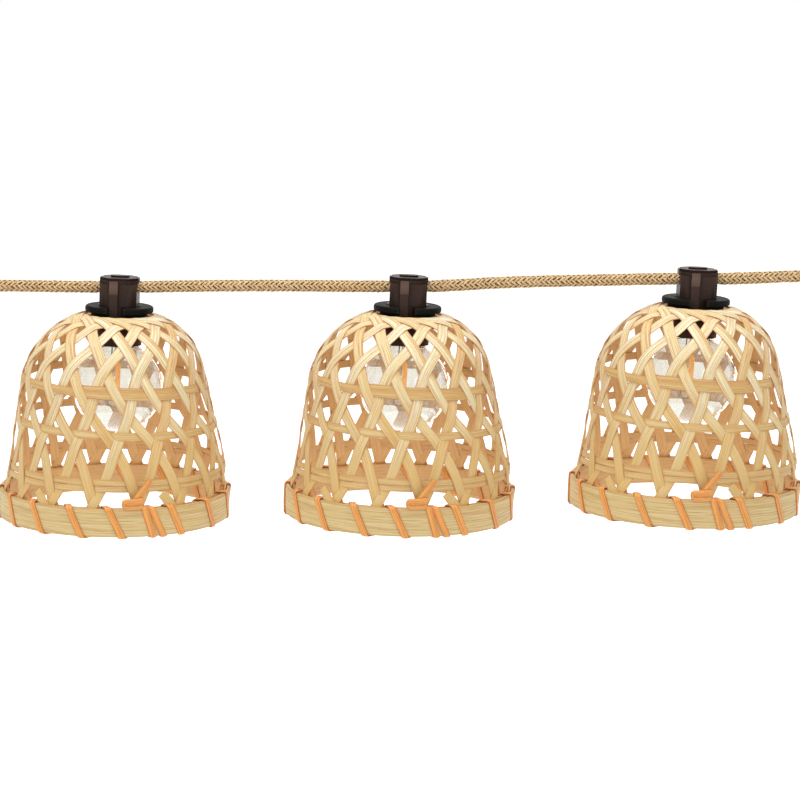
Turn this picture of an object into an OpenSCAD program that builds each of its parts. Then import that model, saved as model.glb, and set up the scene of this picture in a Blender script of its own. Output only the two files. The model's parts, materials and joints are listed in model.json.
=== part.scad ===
// String of three woven bamboo bell lanterns on a jute covered cord.
// The origin is the centre of the left hanging eye, X runs along the cord and Z is up.

/* [Cord] */
// Outer diameter of the jute cover
rope_d = 5.4; // [5.2:0.1:5.6]
// Wall of the jute cover
cover_wall = 0.65; // [0.55:0.05:0.7]

/* [Shade] */
// Width of one bamboo strip
strip_w = 4.6; // [3.4:0.1:4.6]
// Thickness of one bamboo strip
strip_t = 0.5; // [0.35:0.05:0.5]
// Height of the two rim bands
rim_h = 12.4; // [11:0.1:13]
// Thickness of each rim band
rim_t = 1.05; // [0.8:0.05:1.1]
// Width of one lashing wrap, in degrees around the rim
wrap_angle = 3.4; // [2.6:0.1:3.4]

/* [Socket] */
// Width and depth of the square socket head
head_w = 16.4; // [15.6:0.2:17]
// Diameter of the collar that the shade hangs on
collar_d = 30.2; // [29:0.2:32]
// Thickness of the collar's flange
collar_t = 2.65; // [2.5:0.05:3.05]

/* [Bulb] */
// Diameter of the glass globe
globe_d = 40; // [36:0.5:42]
// Wall of the glass
glass_t = 0.8; // [0.6:0.1:1]

/* [Ends] */
// Bore of each hanging eye
eye_bore_d = 6; // [5:0.5:6.5]
// Width of each hanging eye along its bore
eye_w = 5; // [4:0.5:7]

/* [Hidden] */
$fn = 64;
PIECES = [
    "socket_cap", "socket_body", "screw_shell", "centre_contact", "shade_collar", "shade_nut",
    "strips_left", "strips_right", "hoops", "rim_outer", "rim_inner", "rim_lashing",
    "bulb_seal", "bulb_glass", "bulb_cap", "bulb_stem", "led_filament"
];
STRING_PIECES = [
    "rope_cover", "twin_lead", "feed_body", "feed_pins", "feed_nut",
    "outlet_body", "outlet_contacts", "outlet_cap"
];

slack = 0.1;            // radial clearance of the parts that turn or slide
nudge = 0.02;           // how far a cutter passes the face that it cuts

// Where each lantern hangs on the cord, how far the lanterns lean along it and how far each shade is turned
lantern_at = [[77, 0, -12], [205, 0, -11.8], [333, 0, -8.4]];
lean = 2.5;
shade_turn = [7, 0, -7];

// Route of the cord's centre line. It is level inside each fitting and each socket.
feed_z = -11.4;
outlet_z = -7.2;
route = [
    [6, 0, feed_z], [20, 0, feed_z], [30, 0, -11.5], [42, 0, -11.7], [54, 0, -11.9], [65, 0, -12],
    [77, 0, -12], [89, 0, -12], [101, 0, -11.8], [113, 0, -11.6], [127, 0, -11.5], [141, 0, -11.45],
    [155, 0, -11.5], [169, 0, -11.6], [181, 0, -11.75], [193, 0, -11.8], [205, 0, -11.8],
    [217, 0, -11.7], [229, 0, -11.1], [242, 0, -10.3], [255, 0, -9.8], [268, 0, -9.5],
    [282, 0, -9.2], [296, 0, -8.9], [309, 0, -8.6], [321, 0, -8.4], [333, 0, -8.4], [345, 0, -8.4],
    [355, 0, -8.1], [364, 0, -7.8], [373, 0, -7.4], [382, 0, outlet_z], [396, 0, outlet_z]
];
rope_sides = 12;
lead_sides = 8;
lead_w = 3.7;           // the two wires side by side
lead_h = 1.9;

// Bell surface: the middle layer of the weave, measured down from the crown
crown_z = -11.1;
shoulder_depth = 36;
dome_power = 2.9;
waist_r = 41.2;
flare = 0.193;
rim_mid_r = 49.2;
rim_top_z = -89.8;
rim_bottom_z = rim_top_z - rim_h;

// Weave: 16 strips lean each way and cross 11.25 degrees further round at each row
strip_count = 16;
strip_pitch = 360 / strip_count;
row_depths = [77.2, 53.7, 39.3, 20.7, 11.1, 4.9];
weave_twist = [[0, -6], [11, -6.5], [21, -7.5], [39, -4.3], [54, -0.9], [77, 0]];   // [depth, degrees]
layer = 0.9;            // middle of an inner or outer strip from the middle of a hoop
crown_lay = 55;         // angle between a strip and the bell's meridian at the crown
crown_taper = 0.195;    // strip width at the crown as a share of the radius
crown_depths = [2.8, 1.8, 1.1];
crown_squeeze = [[1.1, 0.4], [4.9, 1]];    // [depth, share of the layer's offset]
rim_stations = [[89.2, -7], [84, -4], [78.9, -0.9]];    // where a strip lies inside the rim
hoop_rows = [[30.2, 3.7], [48.1, 3.5], [68.05, 2.4], [70.55, 2.4]];
front = -90;            // azimuth of the side that faces the viewer

// Rim and its lashing
rim_gap_in = 0.2;       // between the strips and the inner band
rim_gap_out = 0.2;      // between the strips and the outer band
wrap_gap = 0.05;
wrap_t = 0.5;
knot_angle = 8.6;       // degrees from the front, as for the three wraps to the right of the knot
knot_wrap = 17;
near_wraps = [20.7, 25.6];
knot_r = 2.2;
knot_t = 2;
tail_w = 2.6;
tail_t = 0.8;
tail_l = 13;
tail_tilt = 32;

// Heights inside a lantern, from the centre of the cord
head_top_z = 2;
cap_top_z = 4.5;
cap_boss_z = 5.2;
flange_top_z = -8.25;
flange_bottom_z = flange_top_z - collar_t;
hub_bottom_z = -17.2;
socket_bottom_z = -25.6;
seal_seat_z = -23.4;
cavity_top_z = -10.6;
tongue_bottom_z = -12.7;
tongue_top_z = 3.3;
notch_bottom_z = -13.2;

// Radii and widths inside a lantern
cord_bore_r = rope_d / 2 + slack;
neck_r = 9.4;
neck_top_z = -7.9;
barrel_r = 10.1;
collar_bore_r = neck_r + slack;
hub_neck_r = 12.4;
shade_nut_r = 16.6;
shade_nut_top_z = -14;
head_cut = 1.6;         // corner cut of the octagonal head
cap_plate_h = 1.3;
cap_plate_cut = 3.2;
boss_r = 2.4;
boss_x = 1.8;
tongue_w = 3.8;
tongue_t = 2;
tongue_x = -1.75;
tongue_face_y = -9.6;
bridge_h = 1.1;         // the tongue's root on the cap
bridge_l = 1.5;
notch_w = 7.2;
notch_x = -0.3;
shell_cavity_r = 6.9;
seal_cavity_r = 8.7;
blade_t = 0.8;
blade_w = 3;
blade_top_z = -3.1;
shell_blade_x = -5.3;
tip_blade_x = 2.4;

// Screw base of the bulb: ring threads that clear each other
thread_pitch = 2.54;
shell_root_r = 6.15;
shell_wall = 0.35;
shell_wave = 0.3;
shell_rim_r = 5.2;
cap_crest_r = 5.95;
cap_wave = 0.45;
cap_bore_r = 5;
cap_top_in_z = -11.6;
insulator_r = 4.8;
insulator_h = 1.5;
tip_r = 1.9;
tip_h = 0.9;
contact_r = 3.4;
contact_z = -8.9;
contact_t = 0.5;
contact_hole_r = 3.9;

// Glass
globe_z = -45;
globe_r = globe_d / 2;
neck_out_r = 8.4;
neck_fillet = 3;
ledge_z = -25;
collar_glass_r = 6.2;
cap_bottom_z = -23.6;
tube_r = 4.9;
tube_top_z = -20;

// Stem, lead wires and filament
stem_r = 1.9;
stem_flare_r = 3.2;
stem_flare_h = 3.95;
stem_bottom_z = -30;
lead_r = 0.3;
arm_z = stem_bottom_z - 1.2;
return_x = -4;
filament_r = 1.2;
filament_top_z = -34;
filament_bottom_z = -50;
foot_z = filament_bottom_z - 3.8;

// Connectors at the two ends
fitting_r = 7.2;
mouth_r = 4.3;
mouth_depth = 14;       // how far the cord goes into a moulded end
taper_l = 20;
groove_w = 1.2;
groove_depth = 0.7;
groove_step = 3.6;
eye_up = 11.4;
eye_rim = 2.6;
eye_root = 2;
pin_r = 1;
pin_spread = 3;
plug_r = 6.8;
plug_end_x = -24;
nut_neck_r = 5.6;
nut_from_x = -17;
nut_to_x = -11;
nut_r = 9.4;
nut_end_x = -36;
coupling_r = 7.4;
ridge_h = 0.25;         // the coupling's ring threads
ridge_half_w = 0.7;
flute_r = 1.2;
outlet_eye_x = 402;
outlet_end_x = 26;      // the socket end, from the eye
socket_hole_x = 17;
socket_hole_r = 1.6;
cap_in_r = 7.15;
cap_out_r = 8.8;
cap_from_x = 13.3;
cap_end_x = 28.2;

// ---------- Helpers ----------

function unit(v) = v / norm(v);
function arc(centre, r, from, to, steps) =
    [for (i = [0 : steps]) let (a = from + (to - from) * i / steps) centre + r * [cos(a), sin(a)]];

module at_lantern(n) {
    translate(lantern_at[n - 1]) rotate([0, lean, 0]) children();
}

module at_shade(n) {
    at_lantern(n) rotate([0, 0, shade_turn[n - 1]]) children();
}

// Turns a profile of [radius, height along the axis] about the X axis
module turned_along_x(profile) {
    rotate([0, 90, 0]) rotate_extrude() polygon(profile);
}

module ring(r_in, r_out, z_low, z_high) {
    translate([0, 0, z_low]) difference() {
        cylinder(r = r_out, h = z_high - z_low);
        translate([0, 0, -nudge]) cylinder(r = r_in, h = z_high - z_low + 2 * nudge);
    }
}

module box(low, high) {
    translate(low) cube(high - low);
}

// Sweeps a closed section, given as [side, up] points, along a route in the XZ plane
module swept(path, section) {
    count = len(section);
    last = len(path) - 1;
    points = [
        for (i = [0 : last])
            let (along = unit(path[min(i + 1, last)] - path[max(i - 1, 0)]))
            let (up = unit(cross(along, [0, 1, 0])))
            for (s = section) path[i] + s[0] * [0, 1, 0] + s[1] * up
    ];
    sides = [
        for (i = [0 : last - 1], j = [0 : count - 1])
            let (a = i * count + j, b = i * count + (j + 1) % count)
            each [[a, b + count, b], [a, a + count, b + count]]
    ];
    ends = [
        [for (j = [0 : count - 1]) j],
        [for (j = [count - 1 : -1 : 0]) last * count + j]
    ];
    polyhedron(points, concat(sides, ends), convexity = 10);
}

function ellipse_section(w, h, sides) =
    [for (j = [0 : sides - 1]) let (a = (j + 0.5) * 360 / sides) [w / 2 * cos(a), h / 2 * sin(a)]];

// ---------- Bell surface and weave ----------

function bell_r(depth) =
    let (line = waist_r + flare * (depth - shoulder_depth))
    let (share = max(0, 1 - depth / shoulder_depth))
    depth > crown_z - rim_top_z - 0.1 ? rim_mid_r
    : min(rim_mid_r, line * pow(1 - pow(share, dome_power), 1 / dome_power));

// A point of the bell's outline as [radius, z], moved out by an offset
function bell_point(depth, offset) =
    let (step = 0.05)
    let (along = unit([bell_r(depth + step) - bell_r(depth - step), -2 * step]))
    [bell_r(depth), crown_z - depth] + offset * [-along[1], along[0]];

function halfway(a, b) = (a + b) / 2;

// Stations of one strip as [depth, degrees turned since the lowest crossing]
rows = len(row_depths);
row_turn = strip_pitch / 2;
crown_start_r = bell_r(row_depths[rows - 1]);
function crown_turn(depth) =
    (rows - 1) * row_turn + tan(crown_lay) * ln(crown_start_r / bell_r(depth)) * 180 / PI;
strip_path = concat(
    rim_stations,
    [for (k = [0 : rows - 1]) each concat(
        [[row_depths[k], k * row_turn]],
        k < rows - 1 ? [[halfway(row_depths[k], row_depths[k + 1]), (k + 0.5) * row_turn]] : []
    )],
    [for (depth = crown_depths) [depth, crown_turn(depth)]]
);

function on_bell(station, hand, offset) =
    let (p = bell_point(station[0], offset * lookup(station[0], crown_squeeze)))
    let (a = front + hand * (station[1] + row_turn) + lookup(station[0], weave_twist))
    [p[0] * cos(a), p[0] * sin(a), p[1]];

// One strip that climbs to the right (hand 1) or to the left (hand -1)
module strip(hand, offset) {
    last = len(strip_path) - 1;
    centre = [for (s = strip_path) on_bell(s, hand, offset)];
    out = [for (s = strip_path) unit(on_bell(s, hand, offset + 1) - on_bell(s, hand, offset))];
    points = [
        for (i = [0 : last])
            let (along = unit(centre[min(i + 1, last)] - centre[max(i - 1, 0)]))
            let (across = unit(cross(along, out[i])))
            let (half_w = min(strip_w, crown_taper * bell_r(strip_path[i][0])) / 2)
            for (c = [[-1, -1], [1, -1], [1, 1], [-1, 1]])
                centre[i] + c[0] * half_w * across + c[1] * strip_t / 2 * out[i]
    ];
    sides = [
        for (i = [0 : last - 1], j = [0 : 3])
            let (a = 4 * i + j, b = 4 * i + (j + 1) % 4)
            each j < 2 ? [[a, b, b + 4], [a, b + 4, a + 4]] : [[a, b, a + 4], [b, b + 4, a + 4]]
    ];
    ends = [[3, 2, 1, 0], [4 * last, 4 * last + 1, 4 * last + 2, 4 * last + 3]];
    polyhedron(points, concat(sides, ends), convexity = 6);
}

module strips(hand, offset) {
    for (k = [0 : strip_count - 1]) rotate([0, 0, k * strip_pitch]) strip(hand, offset);
}

module strips_left() {
    color([0.87, 0.8, 0.6]) strips(-1, layer);
}

module strips_right() {
    color([0.83, 0.72, 0.48]) strips(1, -layer);
}

module hoops() {
    color([0.85, 0.72, 0.48])
    for (row = hoop_rows)
        rotate_extrude() polygon([
            bell_point(row[0] - row[1] / 2, -strip_t / 2),
            bell_point(row[0] - row[1] / 2, strip_t / 2),
            bell_point(row[0] + row[1] / 2, strip_t / 2),
            bell_point(row[0] + row[1] / 2, -strip_t / 2)
        ]);
}

// ---------- Rim ----------

strip_reach = layer + strip_t / 2;
rim_outer_r = rim_mid_r + strip_reach + rim_gap_out;
rim_inner_r = rim_mid_r - strip_reach - rim_gap_in;

module rim_outer() {
    color([0.83, 0.72, 0.52]) ring(rim_outer_r, rim_outer_r + rim_t, rim_bottom_z, rim_top_z);
}

module rim_inner() {
    color([0.8, 0.68, 0.46]) ring(rim_inner_r - rim_t, rim_inner_r, rim_bottom_z, rim_top_z);
}

// Section of one wrap: a frame around both rim bands
module wrap_section() {
    inside = rim_inner_r - rim_t - wrap_gap;
    outside = rim_outer_r + rim_t + wrap_gap;
    low = rim_bottom_z - wrap_gap;
    high = rim_top_z + wrap_gap;
    difference() {
        translate([inside - wrap_t, low - wrap_t])
            square([outside - inside + 2 * wrap_t, high - low + 2 * wrap_t]);
        translate([inside, low]) square([outside - inside, high - low]);
    }
}

module wrap(angle) {
    rotate([0, 0, front + angle - wrap_angle / 2]) rotate_extrude(angle = wrap_angle) wrap_section();
}

// The knot, its tail and the strand that joins it to the nearest wrap
module knot() {
    face_r = rim_outer_r + rim_t + wrap_gap;
    rotate([0, 0, front + knot_angle]) rotate_extrude(angle = knot_wrap - knot_angle)
        translate([face_r, rim_top_z - knot_r - tail_w / 2]) square([wrap_t, tail_w]);
    rotate([0, 0, front + knot_angle]) translate([face_r + knot_t / 2, 0, rim_top_z - knot_r]) {
        rotate([0, 90, 0]) rotate_extrude() translate([knot_r, 0]) circle(d = knot_t, $fn = 24);
        rotate([-tail_tilt, 0, 0])
            translate([-tail_t / 2, -tail_w / 2, knot_r]) cube([tail_t, tail_w, tail_l]);
    }
}

module rim_lashing() {
    color([0.88, 0.62, 0.38]) {
        for (k = [2 : strip_count]) wrap(k * strip_pitch);
        for (angle = near_wraps) wrap(angle);
        union() {
            wrap(knot_wrap);
            knot();
        }
    }
}

// ---------- Socket ----------

// Octagonal outline with sides of the given width
module octagon(w, cut) {
    h = w / 2;
    c = h - cut;
    polygon([[h, -c], [h, c], [c, h], [-c, h], [-h, c], [-h, -c], [-c, -h], [c, -h]]);
}

module cord_bore(r, half_l) {
    rotate([0, 90 - lean, 0]) cylinder(r = r, h = 2 * half_l, center = true);
}

module front_and_back() {
    children();
    rotate([0, 0, 180]) children();
}

// The tongue that clips the cap to the socket, on the front face
module tongue() {
    translate([tongue_x - tongue_w / 2, tongue_face_y, tongue_bottom_z])
        cube([tongue_w, tongue_t, tongue_top_z - tongue_bottom_z]);
    translate([tongue_x - tongue_w / 2, tongue_face_y, head_top_z + slack])
        cube([tongue_w, tongue_t + bridge_l, bridge_h]);
}

module socket_cap() {
    plate_z = head_top_z + slack;
    ear_w = 1.8;
    ear_l = 5.2;
    ridge_w = 2 * cord_bore_r - 2 * slack;
    ridge_l = head_w - 0.6;
    color([0.24, 0.18, 0.16])
    difference() {
        union() {
            translate([0, 0, plate_z]) linear_extrude(cap_plate_h) octagon(head_w + 0.4, cap_plate_cut);
            translate([0, 0, plate_z + cap_plate_h - nudge])
                linear_extrude(cap_top_z - plate_z - cap_plate_h + nudge)
                    octagon(head_w - 1.2, cap_plate_cut + 0.4);
            for (x = [-boss_x, boss_x])
                translate([x, 0, plate_z]) cylinder(r = boss_r, h = cap_boss_z - plate_z);
            box([-boss_x, -boss_r, plate_z], [boss_x, boss_r, cap_boss_z]);
            for (side = [-1, 1])
                translate([side * (head_w / 2 - 0.5) - ear_w / 2, -ear_l / 2, plate_z])
                    cube([ear_w, ear_l, 2.2]);
            box([-ridge_l / 2, -ridge_w / 2, 0.9], [ridge_l / 2, ridge_w / 2, plate_z + 0.5]);
            front_and_back() tongue();
        }
        cord_bore(cord_bore_r, head_w);
    }
}

module socket_body() {
    way_w = tongue_w + 2 * slack;
    way_floor_y = tongue_face_y + tongue_t + slack;
    color([0.24, 0.18, 0.16])
    difference() {
        union() {
            translate([0, 0, flange_top_z + slack])
                linear_extrude(head_top_z - flange_top_z - slack) octagon(head_w, head_cut);
            translate([0, 0, hub_bottom_z - slack])
                cylinder(r = neck_r, h = neck_top_z - hub_bottom_z + slack);
            translate([0, 0, socket_bottom_z])
                cylinder(r = barrel_r, h = hub_bottom_z - slack - socket_bottom_z);
        }
        cord_bore(cord_bore_r, head_w);
        box([-head_w, -cord_bore_r, 0], [head_w, cord_bore_r, head_top_z + 1]);
        front_and_back()
            box([tongue_x - way_w / 2, -head_w, tongue_bottom_z - slack],
                [tongue_x + way_w / 2, way_floor_y, head_top_z + 1]);
        translate([0, 0, socket_bottom_z - 1]) {
            cylinder(r = shell_cavity_r, h = cavity_top_z - socket_bottom_z + 1);
            cylinder(r = seal_cavity_r, h = seal_seat_z - socket_bottom_z + 1);
        }
        translate([0, 0, cavity_top_z - 1])
            cylinder(r = contact_hole_r, h = contact_z + contact_t + 0.4 - cavity_top_z + 1);
        blade_slot(shell_blade_x, cavity_top_z - 1);
        blade_slot(tip_blade_x, contact_z + contact_t);
    }
}

module blade_slot(x, from_z) {
    box([x - blade_t / 2 - slack, -blade_w / 2 - slack, from_z],
        [x + blade_t / 2 + slack, blade_w / 2 + slack, blade_top_z + 1.2]);
}

// A pointed blade that pierces the lead
module blade(x, from_z) {
    translate([x, 0, 0]) rotate([90, 0, 90]) translate([0, 0, -blade_t / 2]) linear_extrude(blade_t)
        polygon([[-blade_w / 2, from_z], [blade_w / 2, from_z], [blade_w / 2, blade_top_z - 1.4],
                 [0, blade_top_z], [-blade_w / 2, blade_top_z - 1.4]]);
}

// A ring thread as a wavy line of [radius, z], from low to high
function wavy(mean, wave, low, high) =
    let (steps = ceil((high - low) / thread_pitch * 8))
    [for (i = [0 : steps]) let (z = low + (high - low) * i / steps)
        [mean + wave / 2 * cos(360 * (z - low) / thread_pitch), z]];

function reversed(list) = [for (i = [len(list) - 1 : -1 : 0]) list[i]];

module screw_shell() {
    low = seal_seat_z + 0.3;
    high = cavity_top_z - 0.5;
    mean = shell_root_r + shell_wave / 2;
    color([0.72, 0.56, 0.3]) {
        union() {
            rotate_extrude() polygon(concat(
                wavy(mean, shell_wave, low, high),
                reversed(wavy(mean + shell_wall, shell_wave, low, high))));
            ring(shell_rim_r, mean + shell_wall - shell_wave / 2, high - 0.2, high + 0.4);
            blade(shell_blade_x, high + 0.2);
        }
    }
}

module centre_contact() {
    color([0.75, 0.6, 0.34])
    union() {
        translate([0, 0, contact_z]) cylinder(r = contact_r, h = contact_t);
        blade(tip_blade_x, contact_z + contact_t - nudge);
    }
}

// ---------- Collar and nut ----------

module shade_collar() {
    edge = 1.1;
    flange_r = collar_d / 2;
    color([0.14, 0.14, 0.13])
    difference() {
        rotate_extrude() polygon(concat(
            [[collar_bore_r, hub_bottom_z], [hub_neck_r, hub_bottom_z], [hub_neck_r, flange_bottom_z]],
            arc([flange_r - edge / 2, flange_bottom_z + edge / 2], edge / 2, -90, 0, 4),
            arc([flange_r - edge, flange_top_z - edge], edge, 0, 90, 6),
            [[collar_bore_r, flange_top_z]]));
        front_and_back()
            box([notch_x - notch_w / 2, -flange_r - 1, notch_bottom_z],
                [notch_x + notch_w / 2, 0, flange_top_z + 1]);
    }
}

module shade_nut() {
    color([0.16, 0.16, 0.15])
    difference() {
        ring(hub_neck_r + slack, shade_nut_r, hub_bottom_z + 0.2, shade_nut_top_z);
        for (k = [0 : 5])
            rotate([0, 0, 60 * k + 30])
                translate([shade_nut_r + 0.4, 0, hub_bottom_z]) cylinder(r = 1.6, h = 4);
    }
}

// ---------- Bulb ----------

module bulb_seal() {
    color([0.1, 0.1, 0.1])
        ring(collar_glass_r + slack, seal_cavity_r - slack, ledge_z + 0.05, seal_seat_z - 0.1);
}

// Outline of the glass as [radius, z], shrunk by the given wall
function glass_outline(wall) =
    let (r = globe_r - wall, f = neck_fillet + wall, n = neck_out_r - wall)
    let (reach = r + f, lift = sqrt(reach * reach - pow(n + f, 2)), tilt = atan2(lift, n + f))
    concat(
        arc([0, globe_z], r, -90, tilt, 24),
        reversed(arc([n + f, globe_z + lift], f, 180, 180 + tilt, 5)));

module bulb_glass() {
    wall_in = tube_r - glass_t;
    color([0.85, 0.9, 0.92, 0.35])
    rotate_extrude() polygon(concat(
        glass_outline(0),
        [[neck_out_r, ledge_z], [collar_glass_r, ledge_z], [collar_glass_r, cap_bottom_z - 0.02],
         [tube_r, cap_bottom_z - 0.02], [tube_r, tube_top_z], [0, tube_top_z],
         [0, tube_top_z - glass_t], [wall_in, tube_top_z - glass_t], [wall_in, ledge_z - glass_t]],
        reversed(glass_outline(glass_t))));
}

module bulb_cap() {
    color([0.78, 0.74, 0.66])
    rotate_extrude() polygon(concat(
        [[cap_bore_r, cap_bottom_z], [cap_crest_r, cap_bottom_z]],
        wavy(cap_crest_r - cap_wave / 2, cap_wave, cap_bottom_z + 1, cap_top_in_z - 0.4),
        [[cap_crest_r - cap_wave, cap_top_in_z], [3.2, cap_top_in_z], [3.2, cap_top_in_z - 0.4],
         [cap_bore_r, cap_top_in_z - 0.8]]));
    color([0.08, 0.08, 0.1])
        translate([0, 0, cap_top_in_z]) cylinder(r1 = insulator_r, r2 = insulator_r / 2, h = insulator_h);
    color([0.7, 0.7, 0.72])
        translate([0, 0, cap_top_in_z + insulator_h]) cylinder(r1 = tip_r, r2 = tip_r - 0.5, h = tip_h);
}

module wire(low_z, high_z, x) {
    translate([x, 0, low_z]) cylinder(r = lead_r, h = high_z - low_z, $fn = 16);
}

// A level wire from the lantern's axis side to the return wire
module arm(z, from_x) {
    translate([from_x, 0, z]) rotate([0, -90, 0]) cylinder(r = lead_r, h = from_x - return_x, $fn = 16);
}

module bulb_stem() {
    flare_z = tube_top_z - glass_t - stem_flare_h - 0.05;
    color([0.85, 0.9, 0.92, 0.4]) {
        translate([0, 0, flare_z]) cylinder(r1 = stem_r, r2 = stem_flare_r, h = stem_flare_h);
        translate([0, 0, stem_bottom_z]) cylinder(r = stem_r, h = flare_z - stem_bottom_z);
    }
    color([0.4, 0.38, 0.36]) {
        wire(filament_top_z + 0.05, stem_bottom_z, 0);
        union() {
            arm(arm_z, -0.8);
            wire(foot_z, arm_z, return_x);
            arm(foot_z, 0);
            wire(foot_z, filament_bottom_z - 0.05, 0);
        }
    }
}

module led_filament() {
    color([0.95, 0.72, 0.3])
        translate([0, 0, filament_bottom_z]) cylinder(r = filament_r, h = filament_top_z - filament_bottom_z);
}

// ---------- Cord ----------

module rope_cover() {
    inner_d = rope_d - 2 * cover_wall;
    color([0.74, 0.62, 0.45])
    difference() {
        swept(route, ellipse_section(rope_d, rope_d, rope_sides));
        swept(cut_route(route), ellipse_section(inner_d, inner_d, lead_sides));
    }
}

// The route, a little longer at both ends so that it cuts right through
function cut_route(path) =
    [for (i = [0 : len(path) - 1])
        path[i] + (i == 0 ? [-1, 0, 0] : i == len(path) - 1 ? [1, 0, 0] : [0, 0, 0])];

module twin_lead() {
    color([0.2, 0.14, 0.1]) swept(route, ellipse_section(lead_w, lead_h, lead_sides));
}

// ---------- Ends ----------

// Ring grooves of a strain relief that tapers from x = 0 towards its mouth, in the order of the profile
function relief(sign) =
    let (grooves = [
        for (k = [1 : 4])
            let (x = k * groove_step, r = fitting_r - (fitting_r - mouth_r) * x / taper_l)
            each [[r, x - groove_w / 2], [r - groove_depth, x - groove_w / 2],
                  [r - groove_depth, x + groove_w / 2], [r - 0.2, x + groove_w / 2]]
    ])
    sign > 0 ? grooves : reversed([for (p = grooves) [p[0], -p[1]]]);

// Low ring threads around a coupling of radius r. They stand out with sign 1 and in with sign -1.
function ring_threads(r, places, sign) =
    [for (x = places) each [[r, x - ridge_half_w], [r + sign * ridge_h, x], [r, x + ridge_half_w]]];

// A moulded end: a tapered mouth, a barrel and a hanging eye above it
module moulded_end(profile, mouth_x, sign) {
    half_w = eye_bore_d / 2 + eye_rim;
    difference() {
        union() {
            turned_along_x(profile);
            translate([0, 0, eye_up]) rotate([90, 0, 0]) cylinder(r = half_w, h = eye_w, center = true);
            box([-half_w, -eye_w / 2, fitting_r - eye_root], [half_w, eye_w / 2, eye_up]);
        }
        translate([0, 0, eye_up]) rotate([90, 0, 0]) cylinder(d = eye_bore_d, h = eye_w + 2, center = true);
        translate([mouth_x, 0, 0]) rotate([0, sign * 90, 0])
            translate([0, 0, -mouth_depth]) cylinder(r = rope_d / 2 + 0.05, h = mouth_depth + 1);
    }
}

module pin_places() {
    for (z = [-pin_spread, pin_spread]) translate([0, 0, z]) rotate([0, 90, 0]) children();
}

// Cuts flutes around the X axis
module flutes(r, cut_r, from_x, length) {
    for (k = [0 : 11])
        rotate([30 * k, 0, 0]) translate([from_x, 0, r]) rotate([0, 90, 0]) cylinder(r = cut_r, h = length);
}

module feed_body() {
    color([0.13, 0.12, 0.11])
    translate([0, 0, feed_z]) difference() {
        moulded_end(concat(
            [[0, plug_end_x], [plug_r, plug_end_x], [plug_r, nut_from_x], [nut_neck_r, nut_from_x],
             [nut_neck_r, nut_to_x], [fitting_r, nut_to_x], [fitting_r, 0]],
            relief(1),
            [[mouth_r, taper_l], [0, taper_l]]), taper_l, 1);
        pin_places() translate([0, 0, plug_end_x - nudge]) cylinder(r = pin_r + 0.03, h = 4 + nudge);
    }
}

module feed_pins() {
    point_h = 0.6;
    pin_l = 12.95;
    color([0.8, 0.66, 0.36])
    translate([0, 0, feed_z]) pin_places() translate([0, 0, plug_end_x - 9]) union() {
        translate([0, 0, point_h]) cylinder(r = pin_r, h = pin_l - point_h);
        cylinder(r1 = pin_r - 0.4, r2 = pin_r, h = point_h + nudge);
    }
}

module feed_nut() {
    bevel = 0.8;
    color([0.16, 0.15, 0.14])
    translate([0, 0, feed_z]) difference() {
        turned_along_x(concat(
            [[nut_neck_r + slack, nut_from_x + slack], [nut_neck_r + slack, nut_to_x - slack],
             [nut_r - bevel, nut_to_x - slack], [nut_r, nut_to_x - slack - bevel],
             [nut_r, nut_end_x + bevel], [nut_r - bevel, nut_end_x], [coupling_r, nut_end_x]],
            ring_threads(coupling_r, [-34.5, -31.5, -28.5], -1),
            [[coupling_r, nut_from_x + slack]]));
        flutes(nut_r + flute_r / 2, flute_r, nut_end_x + 2, 20);
    }
}

module outlet_body() {
    color([0.13, 0.12, 0.11])
    translate([outlet_eye_x, 0, outlet_z]) difference() {
        moulded_end(concat(
            [[0, -taper_l], [mouth_r, -taper_l]],
            relief(-1),
            [[fitting_r, 0], [fitting_r, 11], [8.2, 11], [8.2, 13], [plug_r, 13]],
            ring_threads(plug_r, [15.5, 18.5, 21.5], 1),
            [[plug_r, outlet_end_x], [0, outlet_end_x]]), -taper_l, -1);
        pin_places() translate([0, 0, socket_hole_x]) cylinder(r = socket_hole_r, h = 10);
    }
}

module outlet_contacts() {
    color([0.8, 0.66, 0.36])
    translate([outlet_eye_x, 0, outlet_z])
        pin_places() ring(pin_r + slack, socket_hole_r - 0.03, socket_hole_x, outlet_end_x - 0.6);
}

module outlet_cap() {
    edge = 0.8;
    color([0.15, 0.14, 0.13])
    translate([outlet_eye_x, 0, outlet_z]) difference() {
        turned_along_x([
            [cap_in_r, cap_from_x], [cap_out_r, cap_from_x], [cap_out_r, cap_end_x - 1.5 * edge],
            [cap_out_r - edge, cap_end_x], [0, cap_end_x], [0, outlet_end_x + 0.4],
            [cap_in_r, outlet_end_x + 0.4]]);
        flutes(cap_out_r + 0.5, 0.9, 20, 10);
    }
}

// ---------- Assembly ----------

for (n = [1 : 3]) {
    at_lantern(n) socket_cap();
    at_lantern(n) socket_body();
    at_lantern(n) screw_shell();
    at_lantern(n) centre_contact();
    at_lantern(n) shade_collar();
    at_lantern(n) shade_nut();
    at_shade(n) strips_left();
    at_shade(n) strips_right();
    at_shade(n) hoops();
    at_shade(n) rim_outer();
    at_shade(n) rim_inner();
    at_shade(n) rim_lashing();
    at_lantern(n) bulb_seal();
    at_lantern(n) bulb_glass();
    at_lantern(n) bulb_cap();
    at_lantern(n) bulb_stem();
    at_lantern(n) led_filament();
}
rope_cover();
twin_lead();
feed_body();
feed_pins();
feed_nut();
outlet_body();
outlet_contacts();
outlet_cap();
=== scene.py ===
"""String of three woven bamboo bell lanterns on a jute covered cord: the looks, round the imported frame."""

import json
import math
import random

import bpy
from mathutils import Matrix, Vector


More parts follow.
